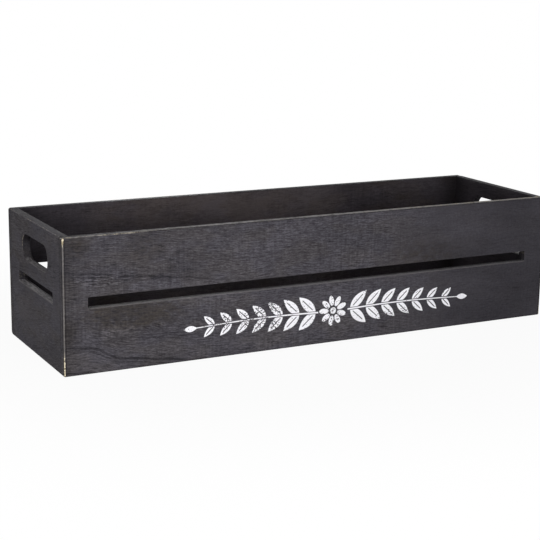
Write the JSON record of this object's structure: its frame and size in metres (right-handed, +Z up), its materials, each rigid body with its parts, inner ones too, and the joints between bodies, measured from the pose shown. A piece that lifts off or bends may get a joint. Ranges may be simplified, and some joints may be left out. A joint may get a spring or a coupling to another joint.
{
  "type": "planter box",
  "caption": "Long open wooden planter box with a slot through each wall and a hand hole in each end, in distressed black stain with a pale printed leaf sprig.",
  "frame": {"origin": "middle of the underside, where the box stands", "axes": "+X along the box from the left end to the right, -Y out of the printed front, +Z up"},
  "size_m": [0.5, 0.15, 0.12],
  "materials": {
    "front_wood": "charcoal black stain, satin, with streaks of grain and pale worn edges, and a pale worn print of a leaf sprig",
    "back_wood": "charcoal black stain, satin, with streaks of grain and pale worn edges",
    "end_wood": "charcoal black stain, satin, with fine grain and pale worn edges",
    "base_wood": "charcoal black stain, matt, thinner underneath",
    "pin_steel": "plain bright steel wire"
  },
  "bodies": {
    "root": {"front_panel": "front_wood", "back_panel": "back_wood", "left_end_panel": "end_wood", "right_end_panel": "end_wood", "base_board": "base_wood", "front_left_corner_pins": "pin_steel", "front_right_corner_pins": "pin_steel", "back_left_corner_pins": "pin_steel", "back_right_corner_pins": "pin_steel", "base_front_pins": "pin_steel", "base_back_pins": "pin_steel", "base_left_pins": "pin_steel", "base_right_pins": "pin_steel"}
  },
  "joints": []
}
